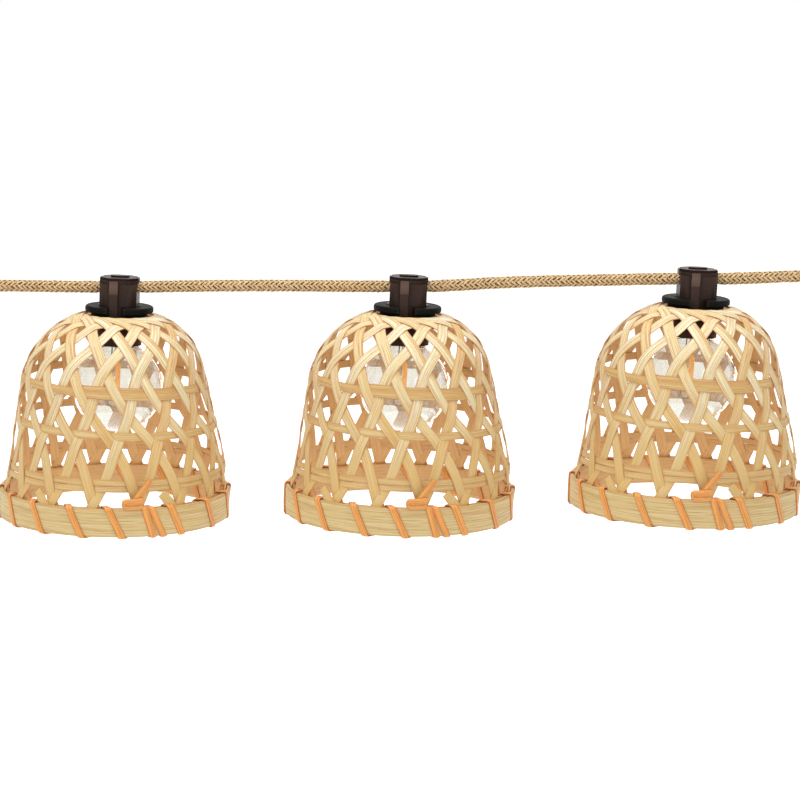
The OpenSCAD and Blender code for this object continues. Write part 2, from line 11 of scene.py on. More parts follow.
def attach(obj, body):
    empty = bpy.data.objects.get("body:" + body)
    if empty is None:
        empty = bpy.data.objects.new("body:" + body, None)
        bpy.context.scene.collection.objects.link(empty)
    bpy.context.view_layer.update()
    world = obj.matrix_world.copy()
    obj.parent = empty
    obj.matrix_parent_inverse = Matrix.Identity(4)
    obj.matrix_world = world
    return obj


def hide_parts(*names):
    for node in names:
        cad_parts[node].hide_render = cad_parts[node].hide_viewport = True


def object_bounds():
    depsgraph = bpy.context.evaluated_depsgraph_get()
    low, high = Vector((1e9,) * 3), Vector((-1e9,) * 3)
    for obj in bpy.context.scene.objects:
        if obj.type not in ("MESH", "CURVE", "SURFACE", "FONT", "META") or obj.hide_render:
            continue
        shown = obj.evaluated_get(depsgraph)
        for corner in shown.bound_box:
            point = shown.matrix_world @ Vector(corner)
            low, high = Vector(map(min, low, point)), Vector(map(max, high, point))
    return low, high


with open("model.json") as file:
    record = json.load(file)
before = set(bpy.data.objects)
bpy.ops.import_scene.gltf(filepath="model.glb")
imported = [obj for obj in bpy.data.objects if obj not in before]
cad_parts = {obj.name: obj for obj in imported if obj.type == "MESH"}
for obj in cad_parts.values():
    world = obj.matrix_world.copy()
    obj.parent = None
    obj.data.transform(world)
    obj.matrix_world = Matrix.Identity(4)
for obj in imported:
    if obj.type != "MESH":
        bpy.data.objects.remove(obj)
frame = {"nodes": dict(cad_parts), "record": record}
cad_low, cad_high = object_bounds()
joints = {j["name"]: j for j in frame["record"]["behaviour"]["joints"]}

MM = 0.001
TAU = 2 * math.pi
LANTERNS = (1, 2, 3)

# The bell's middle surface, in millimetres below the cord's centre, as the CAD part has it
CROWN_Z = -11.1
SHOULDER_DEPTH = 36
DOME_POWER = 2.9
WAIST_R = 41.2
FLARE = 0.193
RIM_MID_R = 49.2
RIM_TOP_Z = -89.8
RIM_BOTTOM_Z = -102.2

# The weave
STRIP_COUNT = 16
STRIP_PITCH = 360 / STRIP_COUNT
ROW_DEPTHS = (77.2, 53.7, 39.3, 20.7, 11.1, 4.9)
RIM_END_DEPTH = 89.2
TANGENT_R = 17.25
STRIP_W = 4.6
STRIP_T = 0.5
RISE = 0.29               # how far a strip lifts off the middle surface where it crosses another
FRONT = -90               # azimuth of the side that faces the camera
SHARP_EDGE = math.radians(38)
SHADE_TURN = {1: 7, 2: 0, 3: -7}
WEAVE_TWIST = ((0, -6), (11, -6.5), (21, -7.5), (39, -4.3), (54, -0.9), (77, 0))      # (depth, degrees)

# Hand work, by millimetres below the cord's centre: fuller than drawn (mm), drawn to one side (mm) and tipped
# to one side (degrees)
FULLER = ((12, 0), (25, 0.7), (45, 0.85), (70, 0.7), (84, 0.2), (90, 0))
SIDEWAYS = ((12, 0), (38, -1.1), (44, -1.0), (60, 0), (76, 0.9), (90, 0.2), (102, 0))
TIPPED = ((14, 0), (41, 1.5), (59, 1.0), (80, -0.9), (102, -0.9))

random.seed(7)


# ---------- Small helpers ----------

def lerp(a, b, t):
    return a + (b - a) * t


def smooth(t):
    t = min(1, max(0, t))
    return t * t * (3 - 2 * t)


def hermite(start, end, start_slope, end_slope, x):
    """A cubic between two (x, y) points with the slope given at each."""
    (a, p), (b, q) = start, end
    t, w = (x - a) / (b - a), b - a
    return ((2 * t ** 3 - 3 * t ** 2 + 1) * p + (t ** 3 - 2 * t ** 2 + t) * w * start_slope
            + (3 * t ** 2 - 2 * t ** 3) * q + (t ** 3 - t ** 2) * w * end_slope)


def curve(knots, x):
    """A smooth line through (x, y) knots that stays level beyond both ends."""
    if x <= knots[0][0] or x >= knots[-1][0]:
        return knots[0][1] if x <= knots[0][0] else knots[-1][1]
    i = max(k for k in range(len(knots) - 1) if knots[k][0] <= x)

    def slope(k):
        if k in (0, len(knots) - 1):
            return 0
        return (knots[k + 1][1] - knots[k - 1][1]) / (knots[k + 1][0] - knots[k - 1][0])

    return hermite(knots[i], knots[i + 1], slope(i), slope(i + 1), x)


def solve(rising, goal, low, high):
    """Where a rising function reaches a value, by halving."""
    for _ in range(40):
        middle = (low + high) / 2
        low, high = (middle, high) if rising(middle) < goal else (low, middle)
    return low


def polar(r, degrees, z):
    a = math.radians(degrees)
    return Vector((r * math.cos(a), r * math.sin(a), z))


def lantern_matrix(n, turn=0):
    """Lantern space, in millimetres from the cord's centre with Z up its axis, to the row frame in metres."""
    up = -Vector(joints[f"bulb_turn_{n}"]["axis"]).normalized()
    side = Vector((0, 1, 0)).cross(up).normalized()
    axes = Matrix((side, up.cross(side), up)).transposed().to_4x4()
    origin = Matrix.Translation(Vector(joints[f"swing_{n}"]["pos_m"]))
    return origin @ axes @ Matrix.Rotation(math.radians(turn), 4, "Z") @ Matrix.Scale(MM, 4)


class Shape:
    """Vertices and faces in millimetres, with one vector attribute per vertex for the materials."""

    def __init__(self):
        self.points, self.faces, self.notes = [], [], []

    def sweep(self, sections, notes=None, closed=False, caps=True):
        """Joins equal rings of points into a skin."""
        start, rings, count = len(self.points), len(sections), len(sections[0])
        faces = []
        for i in range(rings if closed else rings - 1):
            a, b = i * count, (i + 1) % rings * count
            for j in range(count):
                k = (j + 1) % count
                faces.append((a + j, a + k, b + k, b + j))
        if caps and not closed:
            faces.append(tuple(reversed(range(count))))
            faces.append(tuple(range((rings - 1) * count, rings * count)))
        self.points += [p for ring in sections for p in ring]
        self.faces += [tuple(start + i for i in f) for f in faces]
        self.notes += [m for ring in notes for m in ring] if notes else [(0, 0, 0)] * (rings * count)

    def mesh(self, name):
        data = bpy.data.meshes.new(name)
        data.from_pydata([tuple(p) for p in self.points], [], self.faces)
        data.attributes.new("note", "FLOAT_VECTOR", "POINT")
        data.attributes["note"].data.foreach_set("vector", [x for m in self.notes for x in m])
        data.shade_smooth()
        data.update()
        return data


def hand_made(shape):
    """Gives a piece of the shade the small unevenness of hand work."""
    for i, p in enumerate(shape.points):
        grow = 1 + curve(FULLER, -p.z) / math.hypot(p.x, p.y)
        tip = math.tan(math.radians(curve(TIPPED, -p.z)))
        shape.points[i] = Vector((p.x * grow + curve(SIDEWAYS, -p.z), p.y * grow, p.z - tip * p.x))
    return shape


def place(data, name, material, body, matrix, replaced=()):
    """Puts a copy of a mesh in the scene, in metres, as a piece of the object that rides on a body."""
    data = data.copy()
    data.name = name
    data.transform(matrix)
    data.set_sharp_from_angle(angle=SHARP_EDGE)
    data.materials.append(material)
    piece = bpy.data.objects.new(name, data)
    bpy.context.collection.objects.link(piece)
    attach(piece, body)
    for node in replaced:
        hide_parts(node)
    return piece


# ---------- Camera and cord route ----------

VIEW_PITCH = 9.6          # the camera looks down by this many degrees
VIEW_DISTANCE = 1.029
FRAME_PIXELS = 800
FOCAL_PIXELS = 2317       # a lens of 104 mm on the 36 mm sensor
SENSOR_W = 36
AIM_SIDE = 8.5            # where the middle socket lies from the frame's centre, in pixels
AIM_UP = 113.7


def make_camera():
    pitch = math.radians(VIEW_PITCH)
    ahead = Vector((0, math.cos(pitch), -math.sin(pitch)))
    up = Vector((0, math.sin(pitch), math.cos(pitch)))
    ray = ahead + Vector((1, 0, 0)) * AIM_SIDE / FOCAL_PIXELS + up * AIM_UP / FOCAL_PIXELS
    data = bpy.data.cameras.new("camera")
    data.sensor_width = SENSOR_W
    data.lens = SENSOR_W * FOCAL_PIXELS / FRAME_PIXELS
    data.clip_end = 50
    camera = bpy.data.objects.new("camera", data)
    bpy.context.collection.objects.link(camera)
    camera.location = Vector(joints["swing_2"]["pos_m"]) - ray.normalized() * VIEW_DISTANCE
    camera.rotation_euler = (math.radians(90 - VIEW_PITCH), 0, 0)
    bpy.context.scene.camera = camera


make_camera()

# The cord's route in metres, as the CAD part has it: x and z, with y at 0
ROUTE = [Vector((x, 0, z)) for x, z in (
    (.006, -.0114), (.020, -.0114), (.030, -.0115), (.042, -.0117), (.054, -.0119), (.065, -.012),
    (.077, -.012), (.089, -.012), (.101, -.0118), (.113, -.0116), (.127, -.0115), (.141, -.01145),
    (.155, -.0115), (.169, -.0116), (.181, -.01175), (.193, -.0118), (.205, -.0118), (.217, -.0117),
    (.229, -.0111), (.242, -.0103), (.255, -.0098), (.268, -.0095), (.282, -.0092), (.296, -.0089),
    (.309, -.0086), (.321, -.0084), (.333, -.0084), (.345, -.0084), (.355, -.0081), (.364, -.0078),
    (.373, -.0074), (.382, -.0072), (.396, -.0072))]
FIRST_X, LAST_X = ROUTE[0].x / MM, ROUTE[-1].x / MM
SOCKETS = [joints[f"swing_{n}"]["pos_m"][0] / MM for n in LANTERNS]


# ---------- Node material kit ----------

class Nodes:
    """A thin wrapper that builds a material's node tree."""

    def __init__(self, name):
        self.material = bpy.data.materials.new(name)
        self.material.use_nodes = True
        self.tree = self.material.node_tree
        self.tree.nodes.clear()
        self.out = self.tree.nodes.new("ShaderNodeOutputMaterial")

    def new(self, kind, inputs=None, **settings):
        node = self.tree.nodes.new("ShaderNode" + kind)
        for key, value in settings.items():
            setattr(node, key, value)
        for key, value in (inputs or {}).items():
            socket = node.inputs[key]
            if isinstance(value, bpy.types.NodeSocket):
                self.tree.links.new(value, socket)
            else:
                socket.default_value = value
        return node

    def math(self, operation, a, b=0.0, clamp=False):
        return self.new("Math", {0: a, 1: b}, operation=operation, use_clamp=clamp).outputs[0]

    def ramp(self, value, *stops):
        """Maps a value through (position, colour or grey) stops."""
        node = self.new("ValToRGB", {0: value})
        band = node.color_ramp
        while len(band.elements) < len(stops):
            band.elements.new(0.5)
        for element, (position, colour) in zip(band.elements, stops):
            element.position = position
            element.color = (colour,) * 3 + (1,) if isinstance(colour, (int, float)) else tuple(colour) + (1,)
        return node.outputs[0]

    def mix(self, share, a, b):
        node = self.new("Mix", data_type="RGBA")
        for index, value in ((0, share), (6, a), (7, b)):
            if isinstance(value, bpy.types.NodeSocket):
                self.tree.links.new(value, node.inputs[index])
            else:
                node.inputs[index].default_value = tuple(value) + (1,) if isinstance(value, tuple) else value
        return node.outputs[2]

    def noise(self, vector, scale, detail, roughness=0.5):
        return self.new("TexNoise", {"Vector": vector, "Scale": scale, "Detail": detail,
                                     "Roughness": roughness}).outputs[0]

    def join(self, x, y, z):
        return self.new("CombineXYZ", {0: x, 1: y, 2: z}).outputs[0]

    def split(self, vector):
        parts = self.new("SeparateXYZ", {0: vector})
        return parts.outputs[0], parts.outputs[1], parts.outputs[2]

    def note(self):
        """The three numbers of the mesh's own attribute."""
        return self.split(self.new("Attribute", attribute_name="note").outputs["Vector"])

    def where(self):
        return self.new("TexCoord").outputs["Object"]

    def bump(self, height, strength, distance):
        return self.new("Bump", {"Height": height, "Strength": strength, "Distance": distance}).outputs[0]

    def surface(self, **inputs):
        names = {key.replace("_", " "): value for key, value in inputs.items()}
        shader = self.new("BsdfPrincipled", names)
        self.tree.links.new(shader.outputs[0], self.out.inputs[0])
        return self.material


def srgb(red, green, blue):
    """A screen colour, 0 to 255, as linear light."""
    def linear(c):
        c /= 255
        return c / 12.92 if c <= 0.04045 else ((c + 0.055) / 1.055) ** 2.4
    return linear(red), linear(green), linear(blue)


SIDE_SHARE = 0.25         # in a bamboo note's number
TOP_SHARE = 0.44          # in a yarn note's number


def split_bamboo(name, skin, warm, pith, fibre, gloss=0.5, aged_and_low_shade=0.0):
    """Split bamboo. The note holds millimetres along the piece, the place across it (-1 to 1) and the piece's
    number, plus SIDE_SHARE on the skin side and minus it on the pith side. Where asked for, each piece gets a
    tone of its own and painted shade towards its ends, from 40 mm off its middle: on the strips these ends
    hang lowest, under the light from above."""
    n = Nodes(name)
    along, across, code = n.note()
    number = n.math("ROUND", code)
    share = n.math("MULTIPLY", n.math("SUBTRACT", code, number), 0.5 / SIDE_SHARE)
    side = n.math("ADD", share, 0.5, clamp=True)
    seed = n.math("MULTIPLY", number, 7.31)

    def lines(stretch, count, detail, roughness):
        """Noise drawn out along the piece, so that it reads as fibres."""
        return n.noise(n.join(n.math("MULTIPLY", along, stretch),
                              n.math("ADD", n.math("MULTIPLY", across, count), seed), seed),
                       1.0, detail, roughness)

    grain = lines(0.02, 7.5, 4, 0.6)
    fine = lines(0.045, 16, 3, 0.65)
    patch = n.noise(n.join(n.math("MULTIPLY", along, 0.03), across, seed), 1.0, 2)
    tone = n.noise(n.join(seed, 3.7, 1.3), 2.3, 1)
    base = n.mix(n.ramp(n.math("ADD", n.math("MULTIPLY", patch, 0.6), n.math("MULTIPLY", tone, 0.6)),
                        (0.46, 0), (0.82, 1)), skin, warm)
    base = n.mix(n.ramp(grain, (0.46, 0), (0.62, 0.75)), base, warm)
    if aged_and_low_shade:
        each = n.noise(n.join(seed, 9.1, 4.6), 3.1, 1)
        base = n.mix(n.ramp(each, (0.52, 0), (0.68, 0.5)), base, srgb(224, 172, 100))
    base = n.mix(n.ramp(fine, (0.50, 0), (0.59, 0.85)), base, fibre)
    if aged_and_low_shade:
        # Painted shade: darker towards the ends, which on the strips hang lowest, under the light from above.
        ends = n.math("DIVIDE", n.math("ABSOLUTE", along), 200)
        base = n.mix(n.ramp(ends, (0.2, 0), (0.5, aged_and_low_shade)), base, srgb(210, 172, 102))
    # Darker edges: partly the split edge's own colour, partly painted side shade on the rounded slats.
    edge = n.ramp(n.math("ABSOLUTE", across), (0.80, 0), (1.0, 0.7))
    base = n.mix(edge, base, fibre)
    back = n.mix(n.ramp(fine, (0.35, 0), (0.75, 0.8)), pith, fibre)
    colour = n.mix(side, back, base)
    rough = n.ramp(grain, (0.3, gloss - 0.06), (0.75, gloss + 0.14))
    height = n.math("ADD", n.math("MULTIPLY", grain, 0.5), n.math("MULTIPLY", fine, 0.5))
    return n.surface(Base_Color=colour, Roughness=rough, Normal=n.bump(height, 0.35, 0.00012),
                     Specular_IOR_Level=0.35)


def jute_material():
    """Jute yarn, with painted shade between the yarns and on each yarn's sides and underside. The note holds
    millimetres along the yarn, turns round it and the yarn's number, with up to TOP_SHARE added where the
    yarn lies on top of the others."""
    n = Nodes("jute_yarn")
    along, around, code = n.note()
    number = n.math("ROUND", code)
    top = n.math("DIVIDE", n.math("SUBTRACT", code, number), TOP_SHARE)
    face = n.math("SINE", n.math("MULTIPLY", around, TAU))
    twist = n.math("ADD", n.math("MULTIPLY", along, 0.55), around)
    seed = n.math("MULTIPLY", number, 5.17)
    fibre = n.noise(n.join(n.math("MULTIPLY", along, 0.5), n.math("MULTIPLY", twist, 9), seed), 1.0, 4, 0.7)
    patch = n.noise(n.join(n.math("MULTIPLY", along, 0.12), seed, 0.0), 1.0, 3)
    base = n.mix(n.ramp(patch, (0.3, 0), (0.7, 1)), srgb(238, 206, 154), srgb(216, 176, 122))
    base = n.mix(n.ramp(fibre, (0.38, 0.7), (0.50, 0)), base, srgb(158, 116, 70))
    base = n.mix(n.ramp(fibre, (0.58, 0), (0.72, 0.6)), base, srgb(250, 230, 188))
    # Painted shade: each yarn darker on its sides and underside, away from its outward face.
    base = n.mix(n.ramp(face, (0.0, 0.85), (0.7, 0)), base, srgb(74, 48, 26))
    # Painted shade where a yarn dives under the others.
    base = n.mix(n.ramp(top, (0.1, 0.85), (0.5, 0)), base, srgb(58, 38, 22))
    return n.surface(Base_Color=base, Roughness=0.85, Normal=n.bump(fibre, 0.7, 0.00018),
                     Sheen_Weight=0.35, Sheen_Roughness=0.5)


# A dark brown for the sleeve inside the braid: painted shade in the gaps between the yarns.
def gap_shade_material():
    n = Nodes("jute_gap_shade")
    shade = n.noise(n.where(), 900, 3)
    return n.surface(Base_Color=n.mix(shade, srgb(26, 18, 11), srgb(46, 33, 20)), Roughness=0.95)


def moulded(name, dark, light, rough, grain=1400, shine=0.1, clip_highlight_z=None):
    """Moulded plastic or rubber with a fine texture, faint flow marks and paler sharp outer edges. The clip
    arms,
    9 mm and more from the lantern's axis, carry a painted highlight above a given height."""
    n = Nodes(name)
    where = n.where()
    cloud = n.noise(where, 90, 3)
    fine = n.noise(where, grain, 2)
    sharpness = n.new("NewGeometry").outputs["Pointiness"]
    colour = n.mix(n.ramp(cloud, (0.3, 0), (0.7, 1)), dark, light)
    pale = tuple(min(1, 2.6 * c + 0.02) for c in light)
    # Paler on sharp outer edges, by their pointiness.
    colour = n.mix(n.ramp(sharpness, (0.53, 0), (0.62, 0.45)), colour, pale)
    # Painted highlight: the clip arms are painted pale high up, for the shine that they catch.
    if clip_highlight_z is not None:
        _, y, z = n.split(where)
        out = n.ramp(n.math("MULTIPLY", n.math("ABSOLUTE", y), 100), (0.88, 0), (0.91, 1))
        high = n.ramp(n.math("MULTIPLY", n.math("SUBTRACT", z, clip_highlight_z), 100), (0, 0), (0.06, 0.6),
                      (0.35, 1), (0.6, 0.75))
        colour = n.mix(n.math("MULTIPLY", out, high), colour, srgb(104, 84, 74))
    roughness = n.ramp(fine, (0.3, rough - 0.06), (0.7, rough + 0.08))
    return n.surface(Base_Color=colour, Roughness=roughness, Normal=n.bump(fine, 0.22, 0.00006),
                     Specular_IOR_Level=shine)


def metal(name, colour, tarnish, rough):
    n = Nodes(name)
    where = n.where()
    stain = n.noise(where, 420, 4, 0.6)
    streak = n.noise(n.new("Mapping", {"Vector": where, "Scale": (300, 300, 3000)}).outputs[0], 1.0, 2)
    base = n.mix(n.ramp(stain, (0.45, 0), (0.75, 0.7)), colour, tarnish)
    roughness = n.ramp(streak, (0.3, rough - 0.08), (0.7, rough + 0.1))
    return n.surface(Base_Color=base, Metallic=1.0, Roughness=roughness, Normal=n.bump(streak, 0.1, 0.00003))


def clear_glass(name, tint, rough=0.0, clear=1.0):
    """Clear thin glass: it mirrors on its faces, hardly bends what is behind it and may carry a pale haze."""
    n = Nodes(name)
    haze = n.noise(n.where(), 60, 2)
    return n.surface(Base_Color=tint + (1,), Roughness=n.ramp(haze, (0.3, rough), (0.7, rough + 0.02)),
                     IOR=1.04, Transmission_Weight=clear, Coat_Weight=1.0, Coat_IOR=1.5, Coat_Roughness=0.02)


def filament_material():
    n = Nodes("led_filament")
    lumps = n.noise(n.where(), 1500, 3)
    colour = n.mix(n.ramp(lumps, (0.3, 0), (0.7, 1)), srgb(240, 158, 50), srgb(252, 190, 90))
    return n.surface(Base_Color=colour, Roughness=0.5, Normal=n.bump(lumps, 0.4, 0.0001),
                     # The faint emission is painted light: the filament glows though the bulb is not lit.
                     Emission_Color=srgb(255, 176, 70) + (1,), Emission_Strength=0.35)


# The strips get a tone each and painted shade towards their lower ends.
strip_look = split_bamboo("bamboo_strip", srgb(240, 240, 210), srgb(226, 200, 134), srgb(244, 202, 138),
                          srgb(190, 118, 52), aged_and_low_shade=0.8)
hoop_look = split_bamboo("bamboo_hoop", srgb(226, 204, 148), srgb(206, 166, 102), srgb(234, 190, 128),
                         srgb(184, 122, 62))
rim_look = split_bamboo("bamboo_rim", srgb(226, 208, 158), srgb(212, 184, 126), srgb(232, 186, 128),
                        srgb(190, 150, 94))
lash_look = split_bamboo("rattan_lashing", srgb(246, 184, 104), srgb(236, 158, 78), srgb(216, 134, 66),
                         srgb(170, 84, 30), gloss=0.36)
jute_look = jute_material()
gap_shade_look = gap_shade_material()
# The sockets carry a painted highlight on their clip arms.
socket_looks = {n: moulded(f"socket_plastic_{n}", srgb(36, 24, 18), srgb(46, 31, 25), 0.36, shine=0.08,
                           clip_highlight_z=joints[f"swing_{n}"]["pos_m"][2] - 0.0027) for n in LANTERNS}
collar_look = moulded("collar_plastic", srgb(15, 15, 13), srgb(22, 22, 19), 0.5, shine=0.035)
fitting_look = moulded("fitting_rubber", srgb(36, 31, 28), srgb(48, 42, 38), 0.62, grain=900)
nut_look = moulded("nut_plastic", srgb(44, 38, 34), srgb(56, 49, 44), 0.48)
seal_look = moulded("seal_rubber", srgb(24, 24, 24), srgb(34, 34, 34), 0.7, grain=700)
lead_look = moulded("lead_insulation", srgb(46, 32, 24), srgb(58, 42, 32), 0.5)
brass_look = metal("brass", (0.78, 0.58, 0.28), (0.50, 0.34, 0.14), 0.3)
cap_look = metal("nickel_cap", (0.74, 0.71, 0.64), (0.48, 0.42, 0.33), 0.28)
wire_look = metal("lead_wire", (0.30, 0.27, 0.24), (0.16, 0.13, 0.11), 0.4)
glass_look = clear_glass("bulb_glass", (0.92, 0.925, 0.88), clear=0.9)
stem_look = clear_glass("stem_glass", (0.96, 0.975, 0.98), 0.05)
filament_look = filament_material()


# ---------- Bell surface ----------

def bell_r(depth):
    line = WAIST_R + FLARE * (depth - SHOULDER_DEPTH)
    share = max(0, 1 - depth / SHOULDER_DEPTH)
    return min(RIM_MID_R, line * (1 - share ** DOME_POWER) ** (1 / DOME_POWER))


def bell_point(depth, degrees, lift=0.0):
    """A point on the bell's middle surface, moved out by a lift."""
    step = 0.05
    dr, dz = bell_r(depth + step) - bell_r(max(0, depth - step)), -2 * step
    size = math.hypot(dr, dz)
    return polar(bell_r(depth) - dz / size * lift, degrees, CROWN_Z - depth + dr / size * lift)


def bell_spot(depth, degrees, lift):
    """The same point with the way out of the surface there."""
    spot = bell_point(depth, degrees, lift)
    return spot, bell_point(depth, degrees, lift + 1) - spot


# A strip's depth as a function of the degrees from its highest point, where it touches the crown's circle
ROW_TURN = STRIP_PITCH / 2            # from one row of crossings to the next
HALF_TURN = 9 * ROW_TURN              # to the lowest row
STRAIGHT_TURN = 4 * ROW_TURN          # over the crown it runs straight
END_TURN = HALF_TURN + 7
ROW_KNOTS = [(HALF_TURN - k * ROW_TURN, depth) for k, depth in enumerate(ROW_DEPTHS)][::-1]
ROW_KNOTS += [(END_TURN, RIM_END_DEPTH)]


def knot_slope(i):
    """The strip's slope at a knot: the harmonic mean of its neighbours', so that it never turns back."""
    def chord(k):
        (a, p), (b, q) = ROW_KNOTS[k], ROW_KNOTS[k + 1]
        return (q - p) / (b - a)
    if i == 0:
        return chord(0) * 0.8
    if i == len(ROW_KNOTS) - 1:
        return chord(i - 1)
    a, b = chord(i - 1), chord(i)
    return 2 * a * b / (a + b)


def strip_depth(turn):
    turn = abs(turn)
    if turn <= STRAIGHT_TURN:
        return solve(bell_r, TANGENT_R / math.cos(math.radians(turn)), 0.0, 12.0)
    for i, (here, following) in enumerate(zip(ROW_KNOTS, ROW_KNOTS[1:])):
        if turn <= following[0] or i == len(ROW_KNOTS) - 2:
            return hermite(here, following, knot_slope(i), knot_slope(i + 1), turn)


def turn_at_depth(depth):
    return solve(strip_depth, depth, STRAIGHT_TURN, END_TURN)


# ---------- Ribbons ----------

# Section of a slat, each side as (place across, height): shares of half its width and of its thickness
SKIN = ((-1, 0.30), (-0.6, 0.46), (0, 0.5), (0.6, 0.46), (1, 0.30))
DOMED = ((-1, 0.0), (-0.62, 0.36), (0, 0.5), (0.62, 0.36), (1, 0.0))
PITH = ((1, -0.34), (0.6, -0.5), (0, -0.5), (-0.6, -0.5), (-1, -0.34))


def ahead_at(points, i):
    """The way a line of points runs at one of them."""
    return (points[min(i + 1, len(points) - 1)] - points[max(i - 1, 0)]).normalized()


def ribbon(shape, spots, width, thickness, number, taper=(1, 1), start=0.0, skin=SKIN):
    """Sweeps a thin slat with its skin side out along a line of (point, way out)."""
    sections, notes, along = [], [], start
    centres = [centre for centre, _ in spots]
    last = len(spots) - 1
    for i, (centre, out) in enumerate(spots):
        ahead = ahead_at(centres, i)
        across = ahead.cross(out).normalized()
        out = across.cross(ahead).normalized()
        if i:
            along += (centre - centres[i - 1]).length
        wide = width(along) if callable(width) else width
        wide *= lerp(taper[0], 1, smooth(i / 3)) * lerp(taper[1], 1, smooth((last - i) / 3))
        sections.append([centre + across * v * wide / 2 + out * h * thickness for v, h in skin + PITH])
        notes.append([(along, v, number + SIDE_SHARE) for v, _ in skin]
                     + [(along, v, number - SIDE_SHARE) for v, _ in PITH])
    shape.sweep(sections, notes)


def evenly(line, spacing):
    """Picks parameters along a line of (parameter, point) so that their points are evenly spaced."""
    travelled = [0.0]
    for (_, a), (_, b) in zip(line, line[1:]):
        travelled.append(travelled[-1] + (b - a).length)
    count = max(2, round(travelled[-1] / spacing))
    picked, i = [], 0
    for step in range(count + 1):
        goal = travelled[-1] * step / count
        while i < len(line) - 2 and travelled[i + 1] < goal:
            i += 1
        share = (goal - travelled[i]) / max(1e-9, travelled[i + 1] - travelled[i])
        picked.append(lerp(line[i][0], line[i + 1][0], min(1, max(0, share))))
    return picked


class Wobble:
    """A smooth seeded wander along a length."""

    def __init__(self, size, wavelength):
        self.waves = [(size * random.uniform(0.3, 1) / k, TAU * k / wavelength * random.uniform(0.8, 1.2),
                       random.uniform(0, TAU)) for k in (1, 2, 3)]

    def at(self, along):
        return sum(a * math.sin(f * along + p) for a, f, p in self.waves)


# ---------- The weave ----------

# Numbers of the pieces in the bamboo notes, beside the strips' own from 0
HOOP_NUMBER, OUTER_NUMBER, INNER_NUMBER, WRAP_NUMBER = 40, 50, 51, 60
HOOP_T = 0.42
HOOPS = (                 # depth, width, where the hoop starts, how far its ends overlap, its slant
    (30.2, 3.7, -25, 69, 0.9),
    (48.1, 3.5, 158, 52, -0.5),
    (67.9, 2.6, 96, 46, 0.25),
    (70.5, 2.6, -148, 50, -0.2))

# Lift of a strip where it climbs to the right, by degrees from its highest point: over and under in turn
LIFTS = [(0, 0), (ROW_TURN, -0.26), (2 * ROW_TURN, -0.46), (3 * ROW_TURN, -0.42), (4 * ROW_TURN, RISE),
         (5 * ROW_TURN, -RISE), (6 * ROW_TURN, RISE), (turn_at_depth(HOOPS[0][0]), -RISE),
         (7 * ROW_TURN, RISE), (turn_at_depth(HOOPS[1][0]), -RISE), (8 * ROW_TURN, RISE),
         (turn_at_depth(HOOPS[2][0] - 0.6), -RISE), (turn_at_depth(HOOPS[3][0] + 0.6), -RISE),
         (9 * ROW_TURN, RISE), (END_TURN, 0.1)]


def strip_lift(turn):
    hand = -1 if turn > 0 else 1
    turn = abs(turn)
    for (a, p), (b, q) in zip(LIFTS, LIFTS[1:]):
        if turn <= b:
            return hand * lerp(p, q, smooth((turn - a) / (b - a)))
    return hand * LIFTS[-1][1]


def long_strips():
    """The 16 strips, each from the rim over the crown's edge to the rim again, and two cut ends."""
    shape = Shape()
    samples, spacing = 700, 1.15
    line = []
    for i in range(samples + 1):
        turn = lerp(-END_TURN, END_TURN, i / samples)
        line.append((turn, bell_point(strip_depth(turn), turn)))
    turns = evenly(line, spacing)
    for k in range(STRIP_COUNT):
        sway, breadth = Wobble(0.22, 95), Wobble(0.1, 70)
        spots = []
        for i, turn in enumerate(turns):
            depth = strip_depth(turn)
            angle = FRONT + k * STRIP_PITCH + turn + curve(WEAVE_TWIST, depth) + sway.at(i * spacing)
            spots.append(bell_spot(depth, angle, strip_lift(turn)))
        ribbon(shape, spots, lambda s: STRIP_W + breadth.at(s), STRIP_T, k, start=-spacing / 2 * len(turns))
    cut_ends(shape)
    return shape


def cut_ends(shape):
    """Two trimmed strip ends that stand up beside the rim, from 3.5 mm below its top."""
    tucked = 3.5
    for number, (angle, rise, lean) in enumerate(((-34.0, 5.2, -9.0), (32.5, 5.8, -10.0))):
        spots = []
        for i in range(9):
            up = i / 8
            depth = CROWN_Z - RIM_TOP_Z + tucked - up * (rise + tucked)
            spots.append(bell_spot(depth, FRONT + angle + lean * up, 0.75 + 0.5 * up))
        ribbon(shape, spots, 4.3, STRIP_T, STRIP_COUNT + number, taper=(1, 0.85), start=90)


def crossings(depth):
    """Where a hoop meets the strips: (degrees, lift) in order round the bell."""
    turn, twist = turn_at_depth(depth), curve(WEAVE_TWIST, depth)
    met = []
    for k in range(STRIP_COUNT):
        over, under = k * STRIP_PITCH + twist - turn, k * STRIP_PITCH + twist + turn
        met += [(over % 360, RISE), (under % 360, -RISE)]
    return sorted(met)


def hoop_lift(met, angle):
    """How far a hoop stands out of the middle surface, between the strips that it goes over and under."""
    angle %= 360
    ring = [(met[-1][0] - 360, met[-1][1])] + met + [(met[0][0] + 360, met[0][1])]
    for (a, p), (b, q) in zip(ring, ring[1:]):
        if a <= angle <= b:
            return lerp(p, q, smooth((angle - a) / max(1e-6, b - a)))
    return 0


def woven_hoops():
    """The 4 hoops. Each starts under its own other end and comes out over it."""
    shape = Shape()
    for number, (depth, width, start, overlap, slant) in enumerate(HOOPS):
        met = crossings(depth)
        sway = Wobble(0.18, 120)
        total = 360 + overlap
        count = round(total * 0.9)
        spots = []
        for i in range(count + 1):
            turned = total * i / count
            layer = lerp(-0.16, 0.20, smooth((turned - 180) / 180))
            here = depth + slant * (turned / total - 0.5) * 2 + sway.at(turned * 0.8)
            angle = start + turned
            spots.append(bell_spot(here, FRONT + angle, hoop_lift(met, angle) + layer))
        ribbon(shape, spots, width, HOOP_T, HOOP_NUMBER + number, taper=(0.8, 0.7))
    return shape


# ---------- Rim ----------

OUTER_BAND = (49.7, 51.4)
INNER_BAND = (47.3, 48.75)
WRAP_W = 3.0
WRAP_T = 0.75


